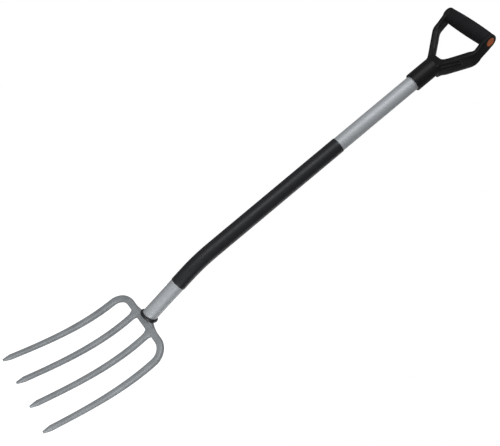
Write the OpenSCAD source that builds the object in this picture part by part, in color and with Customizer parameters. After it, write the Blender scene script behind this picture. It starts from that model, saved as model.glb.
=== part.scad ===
// Digging fork: a four-tine steel head on a cranked steel tube with a D handle.
// Origin: on the axis of the straight upper tube, at the middle of its bare stretch,
// where a tool-rack clip holds it. +Z runs up the tube, -Y is the side the tines curve to,
// and +X is the right-hand side seen from the front. Millimetres.

/* [Shaft] */
// Outer diameter of the steel tube
tube_d = 31; // [30:0.5:32]
// Wall of the steel tube
tube_wall = 1.8; // [1.2:0.1:2.4]
// Angle of the crank in the tube
bend_angle = 13; // [10:0.5:15]
// Radius of the crank, on the tube's centreline
bend_radius = 300; // [240:5:340]
// Clip point down to the vertex of the crank
clip_to_bend = 460; // [420:5:520]
// Vertex of the crank down to the collar ring
bend_to_collar = 145.5; // [130:0.5:160]

/* [Shaft sleeve] */
// Wall of the plastic sleeve over the crank
sleeve_wall = 0.9; // [0.6:0.1:2]
// Clip point down to the sleeve's upper end
clip_to_sleeve = 96.5; // [70:0.5:120]
// Vertex of the crank down to the sleeve's lower end
bend_to_sleeve_end = 61.5; // [50:0.5:75]

/* [Head] */
// Distance between neighbouring tines, at the bow
tine_pitch = 58; // [52:0.5:62]
// Length of a tine along its curve, from the bow's centreline
tine_length = 274; // [240:1:300]
// Lean of a tine's root, from straight down towards the back
tine_root_angle = 8.5; // [6:0.5:11]
// How far a tine turns forward between its root and its tip
tine_sweep = 35.5; // [25:0.5:45]
// How far an outer tine's tip stands out beyond its root
tine_splay = 9; // [0:0.5:14]
// Width of the bow, and of the outer tines at their roots
bow_w = 14.5; // [13:0.25:15]
// Width of the inner tines at their roots
inner_tine_w = 13.25; // [12:0.25:14]
// Thickness of the bow, and of every tine at its root
tine_t = 11.5; // [10:0.25:13]
// Tine width just above the ground point
tine_end_w = 10.25; // [9:0.25:12]
// Tine thickness just above the ground point
tine_end_t = 8.75; // [8:0.25:10]
// Length of the ground point of a tine
point_length = 16; // [14:1:24]
// Radius of the bow's corners, on the centreline
bow_corner = 31; // [26:1:38]
// Collar ring down to the bow's centreline
collar_to_bow = 17.5; // [17:0.5:22]
// Slant of the tube's lower end and its ring, front side lower
collar_tilt = 14; // [8:1:16]

/* [D handle] */
// Clip point up to the socket's rim
clip_to_socket = 100.5; // [99:0.5:106]
// Outer diameter of the socket
socket_d = 39; // [37:0.25:40]
// Clip point up to the bottom of the hand opening
clip_to_opening = 171.5; // [168:0.5:175]
// Clip point up to where the lower arms start to lean further forward
clip_to_lean = 211; // [206:1:216]
// Clip point up to the kink of the arms
clip_to_kink = 217.5; // [214:0.5:222]
// Clip point up to the grip's axis
clip_to_grip = 256; // [252:1:262]
// Forward lean of the lower arms
lower_lean = 10.5; // [6:0.5:13]
// Forward lean of the upper arms
upper_lean = 20; // [16:0.5:24]
// Grip's axis forward of the tube's axis
grip_forward = 22; // [18:0.5:26]
// Width across the D's outer faces
handle_w = 123.5; // [118:0.5:126]
// Spread of each lower arm from the tube's direction
arm_spread = 37; // [36:0.5:38]
// Diameter at the middle of the grip
grip_d = 33; // [31:0.5:34]
// Diameter at the ends of the grip
grip_end_d = 30; // [28:0.5:31]

/* [Hidden] */

steel_colour = [0.50, 0.53, 0.54];
tube_colour = [0.66, 0.69, 0.72];
weld_colour = [0.42, 0.44, 0.45];
black = [0.14, 0.14, 0.15];
orange = [0.80, 0.38, 0.16];

round_fn = 64;
// Gap left between parts that fit inside each other
fit_gap = 0.05;

// Shaft
bend_tangent = bend_radius * tan(bend_angle / 2);
// The curved piece is a hair thicker than the straight ones that reach into it
joint_overlap = 0.5;
bend_swell = 0.1;
tube_bore = tube_d - 2 * tube_wall;
socket_depth = 42;
socket_top = 156;
tube_top = clip_to_socket + socket_depth;
sleeve_d = tube_d + 2 * sleeve_wall;

// Head
bow_half = 1.5 * tine_pitch;
path_steps = 36;
bow_steps = 14;
section_sides = 20;
section_power = 3;
point_tip = 4;
// How far the tip of a ground point stands back of the tine's middle line
point_back = 1.5;
root_flare = 24;
root_flare_length = 22;
inner_tine_short = 1.5;
weld_d = 2.2;
weld_sink = 0.65;

// Neck and collar
spigot_length = 45;
neck_top_w = 32;
neck_foot_w = 76;
neck_top_t = 18;
// How far the neck's top stands forward of the spigot's axis
neck_forward = 1.5;
neck_power = 1.15;
neck_steps = 10;
neck_sides = 32;
ring_d = 38.4;
ring_h = 5.5;

// D handle
arm_start = 158;
arm_lower_w = 14.5;
arm_lower_depth = 33;
arm_lower_twist = 9;
arm_upper_w = 10.2;
arm_upper_depth = 26.5;
arm_upper_twist = 6;
arm_sides = 32;
arm_steps = 44;
arm_power = 4;
kink_blend = 7;
lean_blend = 10;
eye_blend = 10;
crotch_depth = 32;
crotch_round = 14;
groove_length = 46;
groove_w = 6.5;
groove_gap = 1.5;
groove_edge = 3.25;
groove_depth = 2;
eye_length = 9;
bar_d = 23;
bar_bore = 17;
cap_d = 19;
cap_rim = 2;
cap_plug_length = 12;
plug_length = 26;
screw_d = 4.2;
screw_head_d = 8;
screw_head_h = 2.4;

// Shaft: everything that follows the cranked tube

// The lower stretch's own frame: origin at a point `down` below the crank's vertex
module on_lower_shaft(down) {
    translate([0, 0, -clip_to_bend])
    rotate([bend_angle, 0, 0])
    translate([0, 0, -down])
        children();
}

// A round rod along the shaft, from `above` to `below` the crank's vertex
module shaft_rod(d, above, below) {
    translate([0, 0, -clip_to_bend + bend_tangent - joint_overlap])
        cylinder(d = d, h = above - bend_tangent + joint_overlap, $fn = round_fn);
    translate([0, bend_radius, -clip_to_bend + bend_tangent])
    rotate([-90, 0, 0])
    rotate([0, 90, 0])
    rotate_extrude(angle = bend_angle, $fn = 4 * round_fn)
        translate([bend_radius, 0])
            circle(d = d + bend_swell, $fn = round_fn);
    on_lower_shaft(below)
        cylinder(d = d, h = below - bend_tangent + joint_overlap, $fn = round_fn);
}

// The slanted plane of the tube's lower end
module on_collar() {
    on_lower_shaft(bend_to_collar)
    rotate([collar_tilt, 0, 0])
        children();
}

module shaft_tube() {
    color(tube_colour)
    difference() {
        shaft_rod(tube_d, clip_to_bend + tube_top, bend_to_collar + tube_d / 2);
        shaft_rod(tube_bore, clip_to_bend + tube_top + 1, bend_to_collar + tube_d);
        screw_hole(screw_d + 2 * fit_gap, tube_d);
        on_collar()
        translate([0, 0, -tube_d])
            cylinder(d = 2 * tube_d, h = tube_d, $fn = round_fn);
    }
}

module shaft_sleeve() {
    sleeve_above = clip_to_bend - clip_to_sleeve;
    color(black)
    difference() {
        shaft_rod(sleeve_d, sleeve_above, bend_to_sleeve_end);
        shaft_rod(tube_d + 2 * fit_gap, sleeve_above + 1, bend_to_sleeve_end + 1);
    }
}

// Head: the tines lie on one curved sheet, s measured down it from the bow

// Direction of the sheet at s, from straight down towards +Y
function sheet_angle(s) =
    let(u = min(1, max(0, s / tine_length)))
    tine_root_angle - tine_sweep * (1 - pow(1 - u, 2));

// Where the bow's centreline crosses the middle of the fork
bow_down = bend_to_collar + collar_to_bow;
bow_y = bow_down * sin(bend_angle);
bow_z = -clip_to_bend - bow_down * cos(bend_angle);

// The sheet's [y, z] at s, by the midpoint rule
function sheet_point(s, steps = 48) =
    let(h = s / steps)
    [
        bow_y + h * sum([for (i = [0 : steps - 1]) sin(sheet_angle((i + 0.5) * h))]),
        bow_z - h * sum([for (i = [0 : steps - 1]) cos(sheet_angle((i + 0.5) * h))])
    ];

function sum(v, i = 0) = i >= len(v) ? 0 : v[i] + sum(v, i + 1);

// A point of the sheet: x across, s down, lifted n towards the back
function on_sheet(x, s, n = 0) =
    let(p = sheet_point(s), a = sheet_angle(s))
    [x * (1 + tine_splay / bow_half * max(0, s) / tine_length), p[0] + n * cos(a), p[1] + n * sin(a)];

// How far a bar of the head has tapered at s: 0 at the bow, 1 at the tip, fastest midway
function taper(s) = (1 - cos(180 * min(1, s / tine_length))) / 2;

// Width of a bar that is root_w wide at the bow, and thickness of every bar
function bar_w(root_w, s) = root_w + (tine_end_w - root_w) * taper(s);
function bar_t(s) = tine_t + (tine_end_t - tine_t) * taper(s);

// How much of the full section is left at s: 1, then falling to the tip over the point
function point_fade(s, length) =
    let(left = (length - s) / point_length)
    left >= 1 ? 1 : point_tip / tine_end_w + (1 - point_tip / tine_end_w) * pow(max(0, left), 0.8);

// A rounded rectangle around [x, s], across the travel direction `turn` (0 runs down the
// sheet, 90 runs towards +X), w wide and t thick
function section(x, s, turn, w, t, back = 0) = [
    for (i = [0 : section_sides - 1])
        let(
            a = 360 * (i + 0.5) / section_sides,
            across = w / 2 * sign(cos(a)) * pow(abs(cos(a)), 2 / section_power),
            lift = t / 2 * sign(sin(a)) * pow(abs(sin(a)), 2 / section_power)
        )
        on_sheet(x + across * cos(turn), s - across * sin(turn), lift + back)
];

// A closed skin through a list of sections that all have the same number of points
module skin(sections) {
    n = len(sections[0]);
    last = (len(sections) - 1) * n;
    points = [for (ring = sections) each ring];
    sides = [
        for (r = [0 : len(sections) - 2], i = [0 : n - 1])
            let(a = r * n + i, b = r * n + (i + 1) % n)
            each [[a, b, b + n], [a, b + n, a + n]]
    ];
    start = [for (i = [n - 1 : -1 : 0]) i];
    end = [for (i = [0 : n - 1]) last + i];
    polyhedron(points = points, faces = concat(sides, [start], [end]), convexity = 8);
}

// Sections of a tine whose root is at x and root_w wide, from s = start to its tip
function tine_sections(x, root_w, start, length, flare) = [
    for (i = [0 : path_steps])
        let(
            s = start + (length - start) * i / path_steps,
            near_root = max(0, 1 - s / root_flare_length),
            fade = point_fade(s, length),
            w = (bar_w(root_w, s) + flare * pow(near_root, 3)) * fade
        )
        section(x, s, 0, w, bar_t(s) * fade, point_back * (1 - fade))
];

// Sections of half the bow's crossbar and its corner, from the middle out; side is +1 or -1
function bow_sections(side) = [
    for (i = [0 : bow_steps])
        let(
            a = 90 * i / bow_steps,
            x = bow_half - bow_corner + bow_corner * sin(a),
            s = bow_corner * (1 - cos(a))
        )
        section(side * x, s, side * (90 - a), bar_w(bow_w, s), bar_t(s))
];

function reversed(v) = [for (i = [len(v) - 1 : -1 : 0]) v[i]];

module outer_tine_bow() {
    start = bow_corner + 6;
    left = concat(bow_sections(-1), tine_sections(-bow_half, bow_w, start, tine_length, 0));
    right = concat(bow_sections(1), tine_sections(bow_half, bow_w, start, tine_length, 0));
    color(steel_colour)
        skin(concat(reversed(left), [for (ring = right) turned_over(ring)]));
}

// The same ring of points, matched to the ring order of the other side of the bow
function turned_over(ring) = [
    for (i = [0 : section_sides - 1])
        ring[(section_sides + section_sides / 2 - 1 - i) % section_sides]
];

module inner_tine(side) {
    start = bow_w / 2 + fit_gap;
    length = tine_length - inner_tine_short;
    color(steel_colour)
        skin(tine_sections(side * tine_pitch / 2, inner_tine_w, start, length, root_flare));
}

module inner_tine_left() {
    inner_tine(-1);
}

module inner_tine_right() {
    inner_tine(1);
}

// Neck: a forging from the bow up to the collar, with a spigot inside the tube

// The frame of the bow's crossbar, whose -Z runs down the tines' roots
module on_bow() {
    on_lower_shaft(bow_down)
    rotate([tine_root_angle - bend_angle, 0, 0])
        children();
}

// Everything above the collar ring's lower face
module above_ring() {
    on_collar()
    translate([0, 0, -ring_h - fit_gap])
        cylinder(d = 4 * tube_d, h = 4 * tube_d, $fn = round_fn);
}

// The neck's outline at v, from 0 at its foot on the bow to 1 just under the spigot, in the
// bow's frame
function neck_section(v) =
    let(
        lean = bend_angle - tine_root_angle,
        foot = [0, 0, bow_w / 2 + fit_gap],
        top = collar_to_bow * [0, -sin(lean), cos(lean)]
            - (ring_h + 3 * fit_gap) * [0, -sin(lean + collar_tilt), cos(lean + collar_tilt)]
            - neck_forward * [0, cos(lean + collar_tilt), sin(lean + collar_tilt)],
        turn = (lean + collar_tilt) * v,
        half_w = neck_top_w / 2 + (neck_foot_w - neck_top_w) / 2 * pow(1 - v, neck_power),
        half_t = tine_t / 2 + (neck_top_t - tine_t) / 2 * v
    )
    [
        for (i = [0 : neck_sides - 1])
            let(
                a = -360 * (i + 0.5) / neck_sides,
                across = half_w * sign(cos(a)) * pow(abs(cos(a)), 2 / section_power),
                lift = half_t * sign(sin(a)) * pow(abs(sin(a)), 2 / section_power)
            )
            foot + (top - foot) * v + [across, lift * cos(turn), lift * sin(turn)]
    ];

module head_neck() {
    stub = 1;
    color(steel_colour) {
        on_bow()
            skin([for (i = [0 : neck_steps]) neck_section(i / neck_steps)]);
        // The stub joins the forging to its spigot
        on_collar()
        translate([0, 0, -ring_h - stub])
            cylinder(d = neck_top_t - 6, h = 2 * stub, $fn = round_fn);
        intersection() {
            on_lower_shaft(bend_to_collar + 2 * ring_h)
                cylinder(d = tube_bore - 2 * fit_gap, h = spigot_length + 2 * ring_h, $fn = round_fn);
            above_ring();
        }
    }
}

// A weld bead along X in the groove beside the bow: x is its middle, face and edge are +1 or -1
module weld_bead(x, length, face, edge) {
    translate([x - length / 2, face * (tine_t / 2 - weld_sink), edge * (bow_w - weld_d) / 2])
    rotate([0, 90, 0])
        cylinder(d = weld_d, h = length, $fn = 24);
}

module inner_tine_welds() {
    color(weld_colour)
    on_bow()
    for (face = [-1, 1], side = [-1, 1])
        weld_bead(side * tine_pitch / 2, inner_tine_w, face, -1);
}

module neck_welds() {
    color(weld_colour)
    on_bow()
    for (face = [-1, 1])
        weld_bead(0, neck_foot_w - 10, face, 1);
}

// Plastic ring between the tube's end and the neck
module collar_ring() {
    bore = tube_bore / cos(collar_tilt) + 2 * fit_gap;
    color(black)
    on_collar()
    rotate_extrude($fn = round_fn)
    translate([0, -fit_gap])
        polygon([
            [bore / 2, -ring_h],
            [ring_d / 2 - 1, -ring_h],
            [ring_d / 2, -ring_h + 1],
            [ring_d / 2, -1],
            [ring_d / 2 - 1, 0],
            [bore / 2, 0]
        ]);
}

// D handle: a moulded yoke, a soft grip, two end caps and a screw

// 0 below -h, u above h, and a smooth bend between
function eased(u, h) = u < -h ? 0 : u > h ? u : pow(u + h, 2) / (4 * h);

// 0 below -h, 1 above h, and a straight ramp between
function ramp(u, h) = min(1, max(0, (u + h) / (2 * h)));

// Middle line of the right-hand arm at height z
function arm_point(z) =
    let(kink = z - clip_to_kink, lean = clip_to_lean - z, upper = tan(upper_lean))
    [
        (handle_w - arm_upper_w) / 2 - 0.2 + tan(arm_spread) * (kink - eased(kink, kink_blend)),
        -grip_forward + upper * (clip_to_grip - z) - (upper - tan(lower_lean)) * eased(lean, lean_blend),
        z
    ];

function unit(v) = v / norm(v);

// The arm's own directions at height z: outward, back (half way to level) and along
function arm_axes(z, twist) =
    let(
        along = unit(arm_point(z + 1) - arm_point(z - 1)),
        back = unit(unit([0, 1, 0] - along * along[1]) + [0, 1, 0]),
        out = unit(cross(back, along))
    )
    [out * cos(twist) - back * sin(twist), back * cos(twist) + out * sin(twist), along];

// The arm's outline at height z: a rounded rectangle whose front is turned towards the middle
function arm_section(z) =
    let(
        up = ramp(z - clip_to_kink, kink_blend),
        w = arm_lower_w + (arm_upper_w - arm_lower_w) * up,
        at_eye = ramp(z - clip_to_grip + 2 * eye_blend, eye_blend),
        full = arm_lower_depth + (arm_upper_depth - arm_lower_depth) * up
            + (grip_end_d - arm_upper_depth) * at_eye,
        depth = full * (0.84 + 0.16 * ramp(z - arm_start - 6, 6)),
        axes = arm_axes(z, arm_lower_twist + (arm_upper_twist - arm_lower_twist) * up)
    )
    [
        for (i = [0 : arm_sides - 1])
            let(a = -360 * (i + 0.5) / arm_sides)
            arm_point(z)
            + axes[0] * w / 2 * sign(cos(a)) * pow(abs(cos(a)), 2 / arm_power)
            + axes[1] * depth / 2 * sign(sin(a)) * pow(abs(sin(a)), 2 / arm_power)
    ];

module yoke_arm() {
    skin([
        for (i = [0 : arm_steps])
            arm_section(arm_start + (clip_to_grip - arm_start) * i / arm_steps)
    ]);
}

// Points of an arc, from angle a to angle b
function arc(x, z, r, a, b, n = 8) = [
    for (i = [0 : n]) [x + r * cos(a + (b - a) * i / n), z + r * sin(a + (b - a) * i / n)]
];

// The web that joins the arms below the hand opening, leaning with them
module yoke_crotch() {
    top = clip_to_opening + 12;
    bottom = socket_top - 6;
    // The arcs run smoothly into the arms' inner faces
    arc_end = clip_to_opening + crotch_round * (1 - sin(arm_spread));
    inner_face = arm_point(arc_end)[0] - arm_lower_w / 2 / cos(arm_spread);
    flat = inner_face - crotch_round * cos(arm_spread);
    right = concat(
        [[0, clip_to_opening]],
        arc(flat, clip_to_opening + crotch_round, crotch_round, -90, -arm_spread),
        [[arm_point(top)[0], top]]
    );
    left = [for (i = [len(right) - 1 : -1 : 1]) [-right[i][0], right[i][1]]];
    translate([0, arm_point(clip_to_opening)[1], clip_to_opening])
    rotate([lower_lean + 90, 0, 0])
    translate([0, -clip_to_opening, -crotch_depth / 2])
    linear_extrude(crotch_depth)
        polygon(concat(right, [[14, bottom], [-14, bottom]], left));
}

// A cylinder on the grip's axis, between two values of X
module grip_cylinder(d, from, to) {
    translate([from, -grip_forward, clip_to_grip])
    rotate([0, 90, 0])
        cylinder(d = d, h = to - from, $fn = round_fn);
}

// Two shallow grooves in the outer face of the right-hand arm
module arm_grooves() {
    middle = clip_to_opening + 8;
    front = -arm_lower_depth / 2 + groove_edge;
    translate(arm_point(middle))
    rotate([lower_lean, arm_spread, -arm_lower_twist])
    for (y = [front, front + groove_w + groove_gap])
        translate([arm_lower_w / 2 - groove_depth, y, -groove_length / 2])
            cube([groove_depth + 2, groove_w, groove_length]);
}

module handle_yoke() {
    half = handle_w / 2;
    color(black)
    difference() {
        union() {
            translate([0, 0, clip_to_socket])
                cylinder(d = socket_d, h = socket_top - clip_to_socket, $fn = round_fn);
            yoke_crotch();
            yoke_arm();
            mirror([1, 0, 0])
                yoke_arm();
            grip_cylinder(bar_d, -half, half);
            for (side = [-1, 1])
                grip_cylinder(
                    grip_end_d,
                    side * (half - eye_length / 2) - eye_length / 2,
                    side * (half - eye_length / 2) + eye_length / 2
                );
        }
        translate([0, 0, clip_to_socket - 1])
            cylinder(d = tube_d + 2 * fit_gap, h = socket_depth + 1, $fn = round_fn);
        grip_cylinder(bar_bore, -handle_w, handle_w);
        for (side = [-1, 1])
            grip_cylinder(
                cap_d,
                side * (half - cap_rim / 2 + 1) - cap_rim / 2 - 1,
                side * (half - cap_rim / 2 + 1) + cap_rim / 2 + 1
            );
        screw_hole(screw_d + 2 * fit_gap, socket_d);
        arm_grooves();
        mirror([1, 0, 0])
            arm_grooves();
    }
}

// A hole from the tube's axis out through the back, at the screw's height
module screw_hole(d, length) {
    translate([0, 0, tube_top - plug_length / 2])
    rotate([-90, 0, 0])
        cylinder(d = d, h = length, $fn = 24);
}

module grip_sleeve() {
    half = handle_w / 2 - eye_length - fit_gap;
    bulge = (grip_d - grip_end_d) / 2;
    steps = 16;
    color([0.11, 0.11, 0.12])
    translate([0, -grip_forward, clip_to_grip])
    rotate([0, 90, 0])
    rotate_extrude($fn = round_fn)
        polygon(concat(
            [[bar_d / 2 + fit_gap, half], [bar_d / 2 + fit_gap, -half]],
            [for (i = [0 : steps])
                let(z = -half + 2 * half * i / steps)
                [grip_end_d / 2 + bulge * (1 - pow(z / half, 2)), z]]
        ));
}

// A disc that closes one end of the hollow bar, with a plug into its bore
module end_cap(side) {
    half = handle_w / 2;
    inner = half - cap_rim - cap_plug_length;
    color(orange) {
        grip_cylinder(
            cap_d - 2 * fit_gap,
            side * (half - cap_rim / 2) - cap_rim / 2,
            side * (half - cap_rim / 2) + cap_rim / 2
        );
        grip_cylinder(
            bar_bore - 2 * fit_gap,
            side > 0 ? inner : -half + cap_rim,
            side > 0 ? half - cap_rim : -inner
        );
    }
}

module end_cap_left() {
    end_cap(-1);
}

module end_cap_right() {
    end_cap(1);
}

// Plastic dowel in the tube's top, which the handle's screw bites into
module tube_plug() {
    color("burlywood")
    difference() {
        translate([0, 0, tube_top - plug_length])
            cylinder(d = tube_bore - 2 * fit_gap, h = plug_length, $fn = round_fn);
        screw_hole(screw_d, tube_d);
    }
}

// Pan-head screw through the back of the socket and the tube into the plug
module handle_screw() {
    tip = 4;
    color("silver")
    translate([0, 0, tube_top - plug_length / 2])
    rotate([-90, 0, 0]) {
        translate([0, 0, tip])
            cylinder(d = screw_d - 2 * fit_gap, h = socket_d / 2 - tip, $fn = 24);
        translate([0, 0, socket_d / 2])
            cylinder(d = screw_head_d, h = screw_head_h, $fn = 32);
    }
}

outer_tine_bow();
inner_tine_left();
inner_tine_right();
inner_tine_welds();
head_neck();
neck_welds();
collar_ring();
shaft_tube();
shaft_sleeve();
tube_plug();
handle_yoke();
grip_sleeve();
end_cap_left();
end_cap_right();
handle_screw();
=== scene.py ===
"""Digging fork: the visual pieces, their materials, the light and the camera.

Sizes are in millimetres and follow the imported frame: +Z up the tube, -Y the front, +X the right.
The origin is the clip point on the upper tube.
"""
import math

import bmesh
import bpy
from mathutils import Matrix, Vector


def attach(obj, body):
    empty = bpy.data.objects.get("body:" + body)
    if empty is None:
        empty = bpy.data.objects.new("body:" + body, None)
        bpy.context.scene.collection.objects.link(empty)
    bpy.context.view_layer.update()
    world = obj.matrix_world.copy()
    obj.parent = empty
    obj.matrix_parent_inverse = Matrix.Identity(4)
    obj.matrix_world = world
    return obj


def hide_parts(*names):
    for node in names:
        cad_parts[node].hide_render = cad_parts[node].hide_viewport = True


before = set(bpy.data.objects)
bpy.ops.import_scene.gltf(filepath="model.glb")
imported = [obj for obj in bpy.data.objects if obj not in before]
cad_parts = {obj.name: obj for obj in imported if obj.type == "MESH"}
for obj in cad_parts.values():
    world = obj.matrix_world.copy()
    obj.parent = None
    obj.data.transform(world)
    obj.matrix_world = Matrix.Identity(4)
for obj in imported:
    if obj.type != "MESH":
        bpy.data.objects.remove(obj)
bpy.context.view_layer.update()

MM = 0.001
# Gap left between pieces that fit inside each other
FIT_GAP = 0.05
# Radius of a lathe profile's ends, so that no two points fall together on the axis
ON_AXIS = 0.01

# Shaft
TUBE_R = 15.5
TUBE_WALL = 1.8
SLEEVE_WALL = 0.9
BEND = math.radians(13)
BEND_R = 300
CLIP_TO_BEND = 460
BEND_TO_COLLAR = 145.5
CLIP_TO_SLEEVE = 96.5
BEND_TO_SLEEVE_END = 61.5
PLUG_LENGTH = 26

# Head. The splay is a hair under the frame's, so that the tines stay inside its box.
PITCH = 58
TINE_LENGTH = 274
ROOT_ANGLE = 8.5
SWEEP = 35.5
SPLAY = 8.8
BOW_W = 14.5
INNER_TINE_W = 13.25
TINE_T = 11.5
TINE_END_W = 10.25
TINE_END_T = 8.75
POINT_LENGTH = 16
POINT_TIP = 4
POINT_BACK = 1.5
INNER_TINE_SHORT = 1.5
ROOT_FLARE = 24
ROOT_FLARE_LENGTH = 22
# Squareness of the head's sections: 2 is an ellipse
HEAD_POWER = 3
BOW_CORNER = 31
BOW_HALF = 1.5 * PITCH
COLLAR_TO_BOW = 17.5
BOW_DOWN = BEND_TO_COLLAR + COLLAR_TO_BOW
COLLAR_TILT = math.radians(14)
RING_R = 19.2
RING_BORE_R = 14.3
RING_H = 5.5
NECK_TOP_W = 32
NECK_TOP_T = 18
NECK_NARROWING = 1.15
NECK_FORWARD = 1.5
NECK_FOOT_W = 76

# D handle
SOCKET_RIM = 100.5
SOCKET_R = 19.5
SOCKET_TOP = 156
SOCKET_DEPTH = 42
OPENING = 171.5
LEAN_Z = 211
KINK_Z = 217.5
GRIP_Z = 256
GRIP_Y = -22
LOWER_LEAN = math.tan(math.radians(10.5))
UPPER_LEAN = math.tan(math.radians(20))
HANDLE_W = 123.5
ARM_SPREAD_ANGLE = math.radians(37)
ARM_SPREAD = math.tan(ARM_SPREAD_ANGLE)
# Width, depth and twist in degrees of an arm below and above its kink
ARM_LOWER = (14.5, 33, 9)
ARM_UPPER = (10.2, 26.5, 6)
ARM_POWER = 5
ARM_START = 156
KINK_BLEND = 7
LEAN_BLEND = 10
CROTCH_ROUND = 14
CROTCH_DEPTH = 32
# How far behind the arm's middle line each groove lies: below 0, as both lie in front of it
GROOVE_CENTRES = (-10, -2)
GROOVE_W = 6.5
GROOVE_LENGTH = 46
GROOVE_DEPTH = 2
EYE_R = 15
EYE_LENGTH = 9
EYE_EDGE = 1.5
BAR_R = 11.5
BAR_BORE_R = 8.4
GRIP_BULGE = 1.5
CAP_R = 9.5
CAP_RECESS = 2.2
CAP_PLUG_LENGTH = 12
YOKE_VOXEL = 0.8
TUBE_TOP = SOCKET_RIM + SOCKET_DEPTH
SCREW_Z = TUBE_TOP - PLUG_LENGTH / 2


# Meshes

def make_piece(name, shell, slot, node, sharp=40):
    """A smooth piece from a shell in millimetres, with edges over sharp degrees kept crisp.

    It rides on the root and stands for one CAD node.
    """
    verts, faces = shell
    mesh = bpy.data.meshes.new(name)
    mesh.from_pydata([Vector(v) * MM for v in verts], [], faces)
    mesh.validate()
    bm = bmesh.new()
    bm.from_mesh(mesh)
    bmesh.ops.recalc_face_normals(bm, faces=bm.faces)
    bm.to_mesh(mesh)
    bm.free()
    mesh.polygons.foreach_set("use_smooth", [True] * len(mesh.polygons))
    mesh.set_sharp_from_angle(angle=math.radians(sharp))
    mesh.materials.append(MATERIALS[slot])
    obj = bpy.data.objects.new(name, mesh)
    bpy.context.collection.objects.link(obj)
    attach(obj, "root")
    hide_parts(node)
    return obj


def skin(rings, closed=False):
    """A shell, as points and faces, through equal rings. Its ends are filled unless closed."""
    sides = len(rings[0])
    count = len(rings)
    verts = [p for ring in rings for p in ring]
    faces = []
    for r in range(count if closed else count - 1):
        here = r * sides
        ahead = (r + 1) % count * sides
        for i in range(sides):
            j = (i + 1) % sides
            faces.append((here + i, here + j, ahead + j, ahead + i))
    if not closed:
        faces.append(tuple(range(sides)))
        faces.append(tuple((count - 1) * sides + i for i in range(sides)))
    return verts, faces


def join(shells):
    """One shell from several closed ones."""
    verts = []
    faces = []
    for more_verts, more_faces in shells:
        offset = len(verts)
        verts += more_verts
        faces += [tuple(i + offset for i in face) for face in more_faces]
    return verts, faces


def lathe(profile, matrix, steps=96, closed=True):
    """A shell from a (radius, height) profile turned about the matrix's Z.

    A closed profile makes a ring.
    """
    rings = []
    for radius, height in profile:
        rings.append([
            matrix @ Vector((
                radius * math.cos(math.tau * i / steps),
                radius * math.sin(math.tau * i / steps),
                height,
            ))
            for i in range(steps)
        ])
    return skin(rings, closed)


def rounded(profile, radius):
    """A closed profile with every corner rounded by up to the radius."""
    steps = 5
    out = []
    count = len(profile)
    for i, corner in enumerate(profile):
        p = Vector(corner)
        back = Vector(profile[i - 1]) - p
        ahead = Vector(profile[(i + 1) % count]) - p
        reach = min(radius, back.length * 0.45, ahead.length * 0.45)
        start = p + back.normalized() * reach
        end = p + ahead.normalized() * reach
        for k in range(steps + 1):
            t = k / steps
            out.append(tuple(start * (1 - t) ** 2 + p * 2 * t * (1 - t) + end * t ** 2))
    return out


def outline(w, t, power, sides):
    """Points of a superellipse w wide and t thick; a higher power has squarer corners."""
    points = []
    for i in range(sides):
        a = math.tau * (i + 0.5) / sides
        c = math.cos(a)
        s = math.sin(a)
        u = w / 2 * math.copysign(abs(c) ** (2 / power), c)
        v = t / 2 * math.copysign(abs(s) ** (2 / power), s)
        points.append((u, v))
    return points


def superellipse(centre, across, along, w, t, power, sides):
    """The same outline in space, around a centre."""
    return [centre + across * u + along * v for u, v in outline(w, t, power, sides)]


def smoothstep(x):
    """0 below 0, 1 above 1, and an S-shaped rise between."""
    x = min(1, max(0, x))
    return x * x * (3 - 2 * x)


def eased(u, h):
    """0 below -h, u above h, and a smooth bend between."""
    if u < -h:
        return 0
    return u if u > h else (u + h) ** 2 / (4 * h)


def lower_shaft(down):
    """The frame of the lower stretch, at a point below the crank's vertex."""
    return (
        Matrix.Translation((0, 0, -CLIP_TO_BEND))
        @ Matrix.Rotation(BEND, 4, "X")
        @ Matrix.Translation((0, 0, -down))
    )


COLLAR = lower_shaft(BEND_TO_COLLAR) @ Matrix.Rotation(COLLAR_TILT, 4, "X")
BOW = lower_shaft(BOW_DOWN) @ Matrix.Rotation(math.radians(ROOT_ANGLE) - BEND, 4, "X")


# Materials

def new_material(name):
    material = bpy.data.materials.new(name)
    material.use_nodes = True
    return material, material.node_tree.nodes, material.node_tree.links


def add_noise(nodes, links, coordinates, scale, detail, roughness=0.5):
    noise = nodes.new("ShaderNodeTexNoise")
    noise.inputs["Scale"].default_value = scale
    noise.inputs["Detail"].default_value = detail
    noise.inputs["Roughness"].default_value = roughness
    links.new(coordinates, noise.inputs["Vector"])
    return noise.outputs["Fac"]


def remap(nodes, links, value, low, high, out_low, out_high):
    node = nodes.new("ShaderNodeMapRange")
    node.inputs["From Min"].default_value = low
    node.inputs["From Max"].default_value = high
    node.inputs["To Min"].default_value = out_low
    node.inputs["To Max"].default_value = out_high
    links.new(value, node.inputs["Value"])
    return node.outputs["Result"]


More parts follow.
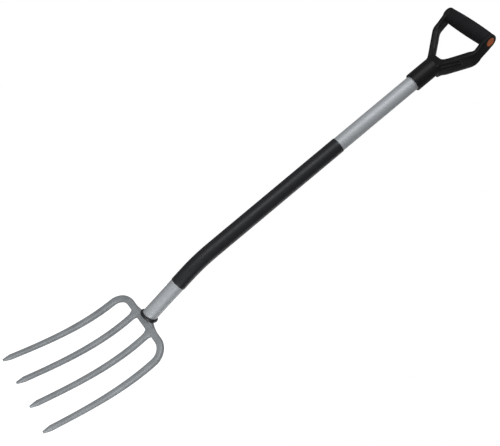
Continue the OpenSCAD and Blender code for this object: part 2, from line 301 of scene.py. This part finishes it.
def surface(
    name, dark, light, roughness, *, cloud, grain, grain_depth,
    metallic=0, wave=0, wave_depth=0, specular=0.5,
):
    """Clouded colour, uneven roughness, a fine grain and a slow waviness. Scales are per metre."""
    material, nodes, links = new_material(name)
    shader = nodes["Principled BSDF"]
    place = nodes.new("ShaderNodeTexCoord").outputs["Object"]
    clouds = add_noise(nodes, links, place, cloud, 5, 0.6)
    mix = nodes.new("ShaderNodeMix")
    mix.data_type = "RGBA"
    mix.inputs["A"].default_value = (*dark, 1)
    mix.inputs["B"].default_value = (*light, 1)
    links.new(remap(nodes, links, clouds, 0.35, 0.65, 0, 1), mix.inputs["Factor"])
    links.new(mix.outputs["Result"], shader.inputs["Base Color"])
    uneven = add_noise(nodes, links, place, cloud * 4, 4, 0.6)
    rough = remap(nodes, links, uneven, 0.3, 0.7, roughness - 0.05, roughness + 0.06)
    links.new(rough, shader.inputs["Roughness"])
    bump = nodes.new("ShaderNodeBump")
    bump.inputs["Distance"].default_value = 0.001
    bump.inputs["Strength"].default_value = grain_depth
    links.new(add_noise(nodes, links, place, grain, 2), bump.inputs["Height"])
    if wave:
        slow = nodes.new("ShaderNodeBump")
        slow.inputs["Distance"].default_value = 0.001
        slow.inputs["Strength"].default_value = wave_depth
        links.new(add_noise(nodes, links, place, wave, 2), slow.inputs["Height"])
        links.new(slow.outputs["Normal"], bump.inputs["Normal"])
    links.new(bump.outputs["Normal"], shader.inputs["Normal"])
    shader.inputs["Metallic"].default_value = metallic
    shader.inputs["Specular IOR Level"].default_value = specular
    return material


MATERIALS = {
    "head_steel": surface(
        "head_lacquer", (0.275, 0.29, 0.301), (0.335, 0.352, 0.365), 0.5,
        metallic=0.25, cloud=30, grain=1500, grain_depth=0.012, wave=110, wave_depth=0.12,
    ),
    "weld_steel": surface(
        "weld_lacquer", (0.15, 0.165, 0.17), (0.20, 0.22, 0.225), 0.45,
        metallic=0.15, cloud=120, grain=900, grain_depth=0.2, wave=300, wave_depth=0.5,
    ),
    "tube_steel": surface(
        "tube_powder_coat", (0.455, 0.473, 0.49), (0.485, 0.503, 0.52), 0.56,
        metallic=0.4, cloud=14, grain=2500, grain_depth=0.008,
    ),
    "sleeve_plastic": surface(
        "sleeve_plastic", (0.0085, 0.009, 0.011), (0.0115, 0.012, 0.0145), 0.46,
        cloud=20, grain=1800, grain_depth=0.1, specular=0.45,
    ),
    "collar_plastic": surface(
        "collar_plastic", (0.006, 0.006, 0.007), (0.01, 0.01, 0.011), 0.38,
        cloud=60, grain=900, grain_depth=0.02,
    ),
    "plug_plastic": surface(
        "plug_plastic", (0.45, 0.40, 0.31), (0.52, 0.47, 0.38), 0.5,
        cloud=60, grain=900, grain_depth=0.05,
    ),
    "yoke_plastic": surface(
        "yoke_plastic", (0.006, 0.006, 0.0068), (0.009, 0.009, 0.01), 0.44,
        cloud=40, grain=2200, grain_depth=0.1, wave=60, wave_depth=0.06, specular=0.2,
    ),
    "grip_rubber": surface(
        "grip_soft_touch", (0.008, 0.008, 0.009), (0.012, 0.012, 0.0135), 0.68,
        cloud=45, grain=2600, grain_depth=0.25, specular=0.16,
    ),
    "cap_plastic": surface(
        "cap_plastic", (0.50, 0.115, 0.026), (0.60, 0.145, 0.034), 0.42,
        cloud=80, grain=2000, grain_depth=0.08,
    ),
    "screw_steel": surface(
        "screw_zinc", (0.42, 0.42, 0.43), (0.55, 0.55, 0.56), 0.3,
        metallic=1, cloud=200, grain=1500, grain_depth=0.04,
    ),
}


# Shaft

def shaft_frame(down):
    """Centre and the front-to-back direction of the shaft, down from the clip point."""
    tangent = BEND_R * math.tan(BEND / 2)
    start = CLIP_TO_BEND - tangent
    arc = BEND_R * BEND
    if down <= start:
        return Vector((0, 0, -down)), 0
    if down < start + arc:
        a = (down - start) / BEND_R
        return Vector((0, BEND_R * (1 - math.cos(a)), -start - BEND_R * math.sin(a))), a
    rest = down - start - arc + tangent
    return Vector((0, rest * math.sin(BEND), -CLIP_TO_BEND - rest * math.cos(BEND))), BEND


SHAFT_END = CLIP_TO_BEND - 2 * BEND_R * math.tan(BEND / 2) + BEND_R * BEND + BEND_TO_COLLAR
SLEEVE_END = SHAFT_END - BEND_TO_COLLAR + BEND_TO_SLEEVE_END


def shaft_ring(down, radius, slant):
    """A ring around the shaft; slant lowers its front, as the tangent of an angle."""
    sides = 96
    centre, a = shaft_frame(down)
    back = Vector((0, math.cos(a), math.sin(a)))
    up = Vector((0, -math.sin(a), math.cos(a)))
    ring = []
    for i in range(sides):
        t = math.tau * i / sides
        y = radius * math.sin(t)
        ring.append(centre + Vector((radius * math.cos(t), 0, 0)) + back * y + up * (y * slant))
    return ring


def shaft_shell(start, end, outer, wall, edge, slant=0):
    """A thin-walled tube along the shaft, with rounded outer edges. Slant leans its lower end."""
    steps = 80
    slant_reach = 30
    stations = [start + edge + (end - start - 2 * edge) * i / steps for i in range(steps + 1)]
    quarter = [math.pi / 2 * k / 3 for k in range(4)]
    inset = outer - edge
    rings = [(start + edge - edge * math.cos(a), inset + edge * math.sin(a)) for a in quarter]
    rings += [(down, outer) for down in stations[1:-1]]
    rings += [(end - edge + edge * math.sin(a), inset + edge * math.cos(a)) for a in quarter]
    rings += [(down, outer - wall) for down in reversed(stations)]
    return skin(
        [
            shaft_ring(down, r, slant * smoothstep(1 - (end - down) / slant_reach))
            for down, r in rings
        ],
        closed=True,
    )


def make_tube():
    shell = shaft_shell(-TUBE_TOP, SHAFT_END, TUBE_R, TUBE_WALL, 0.5, math.tan(COLLAR_TILT))
    make_piece("tube", shell, "tube_steel", "shaft_tube")


def make_sleeve():
    outer = TUBE_R + SLEEVE_WALL
    shell = shaft_shell(CLIP_TO_SLEEVE, SLEEVE_END, outer, SLEEVE_WALL - FIT_GAP, 0.7)
    make_piece("sleeve", shell, "sleeve_plastic", "shaft_sleeve")


def make_collar():
    profile = [(RING_BORE_R, -RING_H), (RING_R, -RING_H), (RING_R, 0), (RING_BORE_R, 0)]
    make_piece("collar", lathe(rounded(profile, 1.6), COLLAR), "collar_plastic", "collar_ring")


make_tube()
make_sleeve()
make_collar()


# Head

def sheet_angle(s):
    """Direction of the tines' curved sheet at s, from straight down towards the back."""
    u = min(1, max(0, s / TINE_LENGTH))
    return math.radians(ROOT_ANGLE - SWEEP * (1 - (1 - u) ** 2))


def sheet_point(s):
    """The sheet's y and z at s, by the midpoint rule."""
    steps = 48
    h = s / steps
    y = sum(math.sin(sheet_angle((i + 0.5) * h)) for i in range(steps)) * h
    z = sum(math.cos(sheet_angle((i + 0.5) * h)) for i in range(steps)) * h
    bow = BOW @ Vector((0, 0, 0))
    return bow.y + y, bow.z - z


def on_sheet(x, s, lift):
    """A point of the curved sheet that the tines lie on: across, down and back from it."""
    y, z = sheet_point(s)
    a = sheet_angle(s)
    splayed = x * (1 + SPLAY / BOW_HALF * max(0, s) / TINE_LENGTH)
    return Vector((splayed, y + lift * math.cos(a), z + lift * math.sin(a)))


def sheet_section(x, s, turn, w, t, back=0):
    """A bar's outline on the sheet, across its travel: turn 0 runs down it, a quarter runs to +X."""
    return [
        on_sheet(x + u * math.cos(turn), s - u * math.sin(turn), v + back)
        for u, v in outline(w, t, HEAD_POWER, 40)
    ]


def bar_size(root_w, s):
    """Width and thickness of a bar of the head, s down from the bow, where it is root_w wide."""
    taper = (1 - math.cos(math.pi * min(1, s / TINE_LENGTH))) / 2
    return root_w + (TINE_END_W - root_w) * taper, TINE_T + (TINE_END_T - TINE_T) * taper


def tine_rings(x, root_w, start, length, flare):
    """Rings from the root to the point, closer together over the root and the point."""
    rings = []
    body = length - POINT_LENGTH
    stations = [start + (body - start) * (i / 70) ** 1.3 for i in range(70)]
    stations += [body + POINT_LENGTH * i / 16 for i in range(17)]
    tip = POINT_TIP / TINE_END_W
    for s in stations:
        w, t = bar_size(root_w, s)
        left = (length - s) / POINT_LENGTH
        fade = 1 if left >= 1 else tip + (1 - tip) * max(0, left) ** 0.8
        wide = (w + flare * max(0, 1 - s / ROOT_FLARE_LENGTH) ** 3) * fade
        rings.append(sheet_section(x, s, 0, wide, t * fade, POINT_BACK * (1 - fade)))
    return rings


def bow_rings(side):
    """Rings of half the crossbar and its corner, from the middle out."""
    rings = []
    straight = BOW_HALF - BOW_CORNER
    for i in range(1, 13):
        w, t = bar_size(BOW_W, 0)
        rings.append(sheet_section(side * straight * i / 13, 0, side * math.pi / 2, w, t))
    for i in range(37):
        a = math.pi / 2 * i / 36
        s = BOW_CORNER * (1 - math.cos(a))
        w, t = bar_size(BOW_W, s)
        x = side * (straight + BOW_CORNER * math.sin(a))
        rings.append(sheet_section(x, s, side * (math.pi / 2 - a), w, t))
    return rings


def make_bow():
    """One bar from the left tine's point, over the crossbar, to the right tine's point."""
    left, right = (
        bow_rings(side) + tine_rings(side * BOW_HALF, BOW_W, BOW_CORNER + 3, TINE_LENGTH, 0)
        for side in (-1, 1)
    )
    # The right half's rings are renumbered so that both halves join without a twist
    sides = len(left[0])
    turned = [
        [ring[(sides + sides // 2 - 1 - i) % sides] for i in range(sides)]
        for ring in right
    ]
    make_piece("bow", skin(left[::-1] + turned), "head_steel", "outer_tine_bow", 50)


def make_inner_tine(word, side):
    length = TINE_LENGTH - INNER_TINE_SHORT
    rings = tine_rings(side * PITCH / 2, INNER_TINE_W, 2, length, ROOT_FLARE)
    make_piece(f"tine_{word}", skin(rings), "head_steel", f"inner_tine_{word}", 50)


def root_weld(x):
    """A dressed weld around a middle tine's root: a low swelling that runs out both ways."""
    start = 1
    length = 19
    crest = 7.5
    reach = 8.5
    swell_w = 0.8
    swell_t = 1.1
    rings = []
    for i in range(25):
        s = start + length * i / 24
        swell = max(0, 1 - ((s - crest) / reach) ** 2) ** 2
        flare = ROOT_FLARE * max(0, 1 - s / ROOT_FLARE_LENGTH) ** 3
        # Both ends lie just under the tine's own skin
        w = INNER_TINE_W + flare + swell_w * swell - 0.3
        t = TINE_T - 0.5 + swell_t * swell
        rings.append(sheet_section(x, s, 0, w, t))
    return skin(rings)


def make_neck():
    """The forging between the bow and the collar: a flat foot drawn in to a boss under the ring."""
    lean = BEND - math.radians(ROOT_ANGLE)
    tilt = lean + COLLAR_TILT
    into_ring = 0.2
    foot_flare = 10
    foot = Vector((0, 0, 2))
    top = Vector((0, -math.sin(lean), math.cos(lean))) * COLLAR_TO_BOW
    top -= Vector((0, -math.sin(tilt), math.cos(tilt))) * (RING_H - into_ring)
    top -= Vector((0, math.cos(tilt), math.sin(tilt))) * NECK_FORWARD
    foot_t = TINE_T - 0.4
    rings = []
    for i in range(33):
        centre = foot + (top - foot) * (i / 32)
        # How far this ring is above the bow: 0 on its upper edge, 1 under the collar ring
        above = max(0, (centre.z - BOW_W / 2) / (top.z - BOW_W / 2))
        turn = tilt * above
        w = NECK_TOP_W + (NECK_FOOT_W - NECK_TOP_W) * (1 - above) ** NECK_NARROWING
        w += foot_flare * (1 - above) ** 6
        t = foot_t + (NECK_TOP_T - foot_t) * above ** 1.4
        deep = Vector((0, math.cos(turn), math.sin(turn)))
        ring = superellipse(centre, Vector((1, 0, 0)), deep, w, t, HEAD_POWER, 64)
        rings.append([BOW @ p for p in ring])
    make_piece("neck", skin(rings), "head_steel", "head_neck", 50)


def neck_bead(face):
    """A dressed bead along the neck's foot, fading out at both ends."""
    half = NECK_FOOT_W / 2 - 6
    bead_d = 2.3
    ripple = 0.12
    deep = BOW.to_3x3() @ Vector((0, 1, 0))
    up = BOW.to_3x3() @ Vector((0, 0, 1))
    rings = []
    for i in range(41):
        v = i / 40
        d = bead_d * math.sin(math.pi * min(0.98, max(0.02, v))) ** 0.25
        lift = BOW_W / 2 - 1 + ripple * math.sin(v * 60)
        centre = BOW @ Vector((half * (2 * v - 1), face * (TINE_T / 2 - 0.75), lift))
        rings.append(superellipse(centre, deep, up, d, d, 2, 16))
    return skin(rings)


def make_welds():
    roots = join([root_weld(side * PITCH / 2) for side in (-1, 1)])
    make_piece("tine_welds", roots, "head_steel", "inner_tine_welds", 50)
    beads = join([neck_bead(face) for face in (-1, 1)])
    make_piece("neck_welds_dressed", beads, "weld_steel", "neck_welds", 50)


make_bow()
make_inner_tine("left", -1)
make_inner_tine("right", 1)
make_neck()
make_welds()


# D handle

def arm_point(z):
    """The right-hand arm's middle line at z: it spreads up to the kink and leans more above LEAN_Z."""
    kink = z - KINK_Z
    upper_x = (HANDLE_W - ARM_UPPER[0]) / 2 - 0.2
    lean = (UPPER_LEAN - LOWER_LEAN) * eased(LEAN_Z - z, LEAN_BLEND)
    return Vector((
        upper_x + ARM_SPREAD * (kink - eased(kink, KINK_BLEND)),
        GRIP_Y + UPPER_LEAN * (GRIP_Z - z) - lean,
        z,
    ))


def arm_frame(z):
    """Outward, back and along directions of the right-hand arm, before its twist."""
    along = (arm_point(z + 1) - arm_point(z - 1)).normalized()
    level = Vector((0, 1, 0))
    back = (level - along * along.y).normalized()
    back = (back + level).normalized()
    return back.cross(along).normalized(), back, along


def arm_size(z):
    """Width, depth and twist of an arm at height z; it widens into the eye at the top."""
    up = min(1, max(0, (z - KINK_Z + KINK_BLEND) / (2 * KINK_BLEND)))
    w, depth, twist = (a + (b - a) * up for a, b in zip(ARM_LOWER, ARM_UPPER))
    eye_start = GRIP_Z - 30
    depth += (2 * EYE_R - ARM_UPPER[1]) * smoothstep((z - eye_start) / 20)
    # The foot is slimmer, where it grows out of the socket
    depth *= 0.84 + 0.16 * smoothstep((z - ARM_START) / 14)
    return w, depth, math.radians(twist)


def arm_axes(z):
    """Outward, back and along directions of the right-hand arm, with its twist."""
    out, back, along = arm_frame(z)
    t = arm_size(z)[2]
    return out * math.cos(t) - back * math.sin(t), back * math.cos(t) + out * math.sin(t), along


def arm(side):
    """One arm, from the socket to its eye: the right-hand one or its mirror image."""
    rings = []
    for i in range(81):
        z = ARM_START + (GRIP_Z - ARM_START) * i / 80
        w, depth, _ = arm_size(z)
        out, back, _ = arm_axes(z)
        ring = superellipse(arm_point(z), out, back, w, depth, ARM_POWER, 64)
        rings.append([Vector((side * p.x, p.y, p.z)) for p in ring])
    return skin(rings)


def on_grip(x):
    """A frame on the grip's axis whose Z runs towards +X."""
    return Matrix.Translation((x, GRIP_Y, GRIP_Z)) @ Matrix.Rotation(math.pi / 2, 4, "Y")


def crotch():
    """The web between the arms, under the rounded bottom of the hand opening."""
    top = OPENING + CROTCH_ROUND
    bottom = SOCKET_TOP - 6
    foot = 14
    arc_end = OPENING + CROTCH_ROUND * (1 - math.sin(ARM_SPREAD_ANGLE))
    inner_face = arm_point(arc_end).x - ARM_LOWER[0] / 2 / math.cos(ARM_SPREAD_ANGLE)
    flat = inner_face - CROTCH_ROUND * math.cos(ARM_SPREAD_ANGLE)
    right = [(0, OPENING)]
    for i in range(13):
        a = -math.pi / 2 + (math.pi / 2 - ARM_SPREAD_ANGLE) * i / 12
        x = flat + CROTCH_ROUND * math.cos(a)
        right.append((x, OPENING + CROTCH_ROUND * (1 + math.sin(a))))
    right.append((arm_point(top).x, top))
    web = right + [(foot, bottom), (-foot, bottom)] + [(-x, z) for x, z in right[:0:-1]]
    half = CROTCH_DEPTH / 2
    return skin([[Vector((x, arm_point(z).y + d, z)) for x, z in web] for d in (-half, half)])


def socket():
    """The round sleeve over the tube's top, closed above it."""
    bore = TUBE_R + FIT_GAP
    profile = [
        (bore, SOCKET_RIM), (SOCKET_R, SOCKET_RIM), (SOCKET_R, SOCKET_TOP),
        (ON_AXIS, SOCKET_TOP), (ON_AXIS, TUBE_TOP), (bore, TUBE_TOP),
    ]
    return lathe(rounded(profile, 1.2), Matrix())


def bar():
    """The bar inside the grip, from eye to eye."""
    end = HANDLE_W / 2 - 4
    return lathe([(BAR_R, -end), (BAR_R, end)], on_grip(0), closed=False)


def eye(side):
    """The round end of an arm, with its outer edge rounded."""
    flat = EYE_LENGTH / 2 - EYE_EDGE
    profile = [(EYE_R, -EYE_LENGTH / 2), (EYE_R, flat)]
    for degrees in (20, 40, 60, 80, 90):
        a = math.radians(degrees)
        profile.append((EYE_R - EYE_EDGE + EYE_EDGE * math.cos(a), flat + EYE_EDGE * math.sin(a)))
    place = on_grip(side * (HANDLE_W / 2 - EYE_LENGTH / 2))
    if side < 0:
        place = place @ Matrix.Rotation(math.pi, 4, "X")
    return lathe(profile, place, closed=False)


def make_yoke():
    """The socket, arms, web, bar and eyes, melted into one moulding by a voxel remesh."""
    shells = [socket(), arm(1), arm(-1), crotch(), bar(), eye(-1), eye(1)]
    yoke = make_piece("yoke", join(shells), "yoke_plastic", "handle_yoke", 50)
    remesh = yoke.modifiers.new("blend", "REMESH")
    remesh.mode = "VOXEL"
    remesh.voxel_size = YOKE_VOXEL * MM
    bpy.context.view_layer.objects.active = yoke
    yoke.select_set(True)
    bpy.ops.object.modifier_apply(modifier="blend")
    shape_yoke(yoke.data)


def shape_yoke(mesh):
    """Softens the joints, then presses in the cap recesses and the arms' long grooves."""
    bm = bmesh.new()
    bm.from_mesh(mesh)
    passes = 8
    every_axis = {"use_axis_x": True, "use_axis_y": True, "use_axis_z": True}
    for _ in range(passes):
        bmesh.ops.smooth_vert(bm, verts=bm.verts, factor=0.5, **every_axis)
    for vert in bm.verts:
        # Both halves are worked on as the right-hand one
        p = vert.co / MM
        side = math.copysign(1, p.x)
        p = press_recess(Vector((abs(p.x), p.y, p.z)))
        p = press_grooves(p)
        vert.co = Vector((side * p.x, p.y, p.z)) * MM
    bm.to_mesh(mesh)
    bm.free()
    mesh.polygons.foreach_set("use_smooth", [True] * len(mesh.polygons))


def press_recess(p):
    """Moves a point of the eye's outer face in, where the cap sits, and trues the recess's rim."""
    end = HANDLE_W / 2
    rim_depth = 1.5
    recess_r = CAP_R + 0.6
    axis = Vector((0, GRIP_Y, GRIP_Z))
    off = p - axis
    radial = math.hypot(off.y, off.z)
    if off.x > end - rim_depth and abs(radial - recess_r) < 0.45:
        off *= Vector((1, recess_r / radial, recess_r / radial))
    elif off.x > end - 2 and radial < recess_r:
        off.x = end - CAP_RECESS
    return off + axis


GROOVE_MIDDLE = OPENING + 8
GROOVE_ORIGIN = arm_point(GROOVE_MIDDLE)
GROOVE_OUT, GROOVE_BACK, GROOVE_ALONG = arm_axes(GROOVE_MIDDLE)


def press_grooves(p):
    """Moves a point of the arm's outer face in, where a groove runs."""
    edge_blend = 1.2
    end_blend = 4
    off = p - GROOVE_ORIGIN
    to_end = GROOVE_LENGTH / 2 - abs(off.dot(GROOVE_ALONG))
    if off.dot(GROOVE_OUT) <= 2 or to_end <= 0:
        return p
    press = 0
    for middle in GROOVE_CENTRES:
        to_edge = GROOVE_W / 2 + 0.3 - abs(off.dot(GROOVE_BACK) - middle)
        press += smoothstep(to_edge / edge_blend)
    return p - GROOVE_OUT * (GROOVE_DEPTH * press * smoothstep(to_end / end_blend))


def make_grip():
    """The soft sleeve around the bar, fattest in its middle, with its end edges eased."""
    half = HANDLE_W / 2 - EYE_LENGTH - FIT_GAP
    bore = BAR_R + 2 * FIT_GAP
    steps = 48
    profile = [(bore, -half + 1)]
    for i in range(steps + 1):
        x = -half + 2 * half * i / steps
        edge = 1 - abs(x) / half
        r = EYE_R + GRIP_BULGE * (1 - (x / half) ** 2) - (1 - smoothstep(edge * 40))
        profile.append((r, x))
    profile.append((bore, half - 1))
    make_piece("grip", lathe(profile, on_grip(0), 128), "grip_rubber", "grip_sleeve", 60)


def make_cap(word, side):
    """A shallow dished disc with a raised rim and a plug into the bar."""
    r = CAP_R - 2 * FIT_GAP
    profile = [
        (ON_AXIS, -CAP_PLUG_LENGTH), (BAR_BORE_R, -CAP_PLUG_LENGTH), (BAR_BORE_R, -CAP_RECESS),
        (r, -CAP_RECESS), (r, -0.75), (r - 0.35, -0.4),
        (r - 1.5, -0.35), (r - 2.0, -0.75), (ON_AXIS, -0.9),
    ]
    place = (
        Matrix.Translation((side * HANDLE_W / 2, GRIP_Y, GRIP_Z))
        @ Matrix.Rotation(side * math.pi / 2, 4, "Y")
    )
    make_piece(f"cap_{word}", lathe(profile, place, 72), "cap_plastic", f"end_cap_{word}", 35)


def cut_out(obj, cutter):
    """Takes a cutter's shape out of a piece."""
    cut = obj.modifiers.new("recess", "BOOLEAN")
    cut.operation = "DIFFERENCE"
    cut.object = cutter
    cut.solver = "EXACT"
    bpy.context.view_layer.objects.active = obj
    bpy.ops.object.modifier_apply(modifier="recess")
    bpy.data.objects.remove(cutter)


def make_screw():
    """A pan-head screw with a cross recess, in the back of the socket."""
    to_back = Matrix.Rotation(-math.pi / 2, 4, "X")
    place = Matrix.Translation((0, 0, SCREW_Z)) @ to_back
    profile = [
        (ON_AXIS, 4.2), (2.0, 6), (2.0, SOCKET_R - 0.3), (4, SOCKET_R), (4, SOCKET_R + 1),
        (3.5, SOCKET_R + 1.8), (2.2, SOCKET_R + 2.3), (ON_AXIS, SOCKET_R + 2.35),
    ]
    screw = make_piece("screw", lathe(profile, place, 48), "screw_steel", "handle_screw", 35)
    slot_length = 4.2
    slot_w = 0.9
    slot_h = 1.8
    for turn in (0, math.pi / 2):
        bpy.ops.mesh.primitive_cube_add(size=1)
        cutter = bpy.context.object
        cutter.matrix_world = (
            Matrix.Translation(Vector((0, SOCKET_R + 2.3, SCREW_Z)) * MM)
            @ to_back
            @ Matrix.Rotation(turn, 4, "Z")
            @ Matrix.Diagonal((slot_length * MM, slot_w * MM, slot_h * MM, 1))
        )
        cut_out(screw, cutter)


def colour_plug():
    """The plug is hidden in the tube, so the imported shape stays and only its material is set."""
    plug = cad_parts["tube_plug"]
    plug.data.materials.clear()
    plug.data.materials.append(MATERIALS["plug_plastic"])


make_yoke()
make_grip()
make_cap("left", -1)
make_cap("right", 1)
make_screw()
colour_plug()


# Stage, light and camera, in metres

WORLD_LIGHT = 0.22
# A hair cooler than white
LIGHT_COLOUR = (0.965, 0.982, 1)
FLOOR_Z = -1.25
FLOOR_HALF = 12


def make_floor():
    """A plain pale floor that the camera sees as pure white, and that is lit like any surface."""
    corners = ((-1, -1), (1, -1), (1, 1), (-1, 1))
    mesh = bpy.data.meshes.new("floor")
    verts = [(x * FLOOR_HALF, y * FLOOR_HALF, FLOOR_Z) for x, y in corners]
    mesh.from_pydata(verts, [], [(0, 1, 2, 3)])
    floor = bpy.data.objects.new("floor", mesh)
    bpy.context.collection.objects.link(floor)
    material, nodes, links = new_material("floor")
    shader = nodes["Principled BSDF"]
    shader.inputs["Base Color"].default_value = (0.8, 0.8, 0.8, 1)
    shader.inputs["Roughness"].default_value = 0.9
    shader.inputs["Emission Color"].default_value = (1, 1, 1, 1)
    seen = nodes.new("ShaderNodeLightPath").outputs["Is Camera Ray"]
    links.new(seen, shader.inputs["Emission Strength"])
    mesh.materials.append(material)


def make_light(name, place, target, size, power):
    """A soft rectangular light that faces a target."""
    data = bpy.data.lights.new(name, "AREA")
    data.shape = "RECTANGLE"
    data.size, data.size_y = size
    data.energy = power
    data.color = LIGHT_COLOUR
    light = bpy.data.objects.new(name, data)
    light.location = place
    light.rotation_euler = (Vector(target) - Vector(place)).to_track_quat("-Z", "Y").to_euler()
    bpy.context.collection.objects.link(light)


def make_world():
    """An even surround, white to the camera and dim as a light."""
    world = bpy.data.worlds.new("studio")
    world.use_nodes = True
    nodes, links = world.node_tree.nodes, world.node_tree.links
    back = nodes["Background"]
    back.inputs["Color"].default_value = (1, 1, 1, 1)
    seen = nodes.new("ShaderNodeLightPath").outputs["Is Camera Ray"]
    links.new(remap(nodes, links, seen, 0, 1, WORLD_LIGHT, 1), back.inputs["Strength"])
    bpy.context.scene.world = world


def make_camera():
    """The photo's view: turned to the left of +Y, raised a little and rolled anticlockwise."""
    heading = math.radians(35.7293)
    rise = math.radians(4.1514)
    roll = math.radians(50.1466)
    turn = (
        Matrix.Rotation(heading, 4, "Z")
        @ Matrix.Rotation(math.pi / 2 + rise, 4, "X")
        @ Matrix.Rotation(roll, 4, "Z")
    )
    data = bpy.data.cameras.new("camera")
    data.sensor_width = 36
    data.lens = 61.2
    data.clip_end = 100
    camera = bpy.data.objects.new("camera", data)
    camera.matrix_world = Matrix.Translation((0.9859, -1.3590, -0.455)) @ turn
    bpy.context.collection.objects.link(camera)
    bpy.context.scene.camera = camera


make_floor()
make_world()
make_light("key", (0.25, -2.43, -0.1), (0, 0, -0.4), (0.9, 1.6), 17.5)
make_light("rim", (0.45, 1.6, -0.5), (0, 0, -0.4), (0.5, 1.8), 7)
make_light("right_fill", (0.5, -0.2, -1.02), (0.1, 0.02, -0.78), (0.4, 0.4), 1.8)
make_light("top", (0.3, -1.2, 0.9), (0, 0, -0.75), (0.8, 0.8), 9.5)
make_camera()
bpy.context.scene.view_settings.view_transform = "Standard"
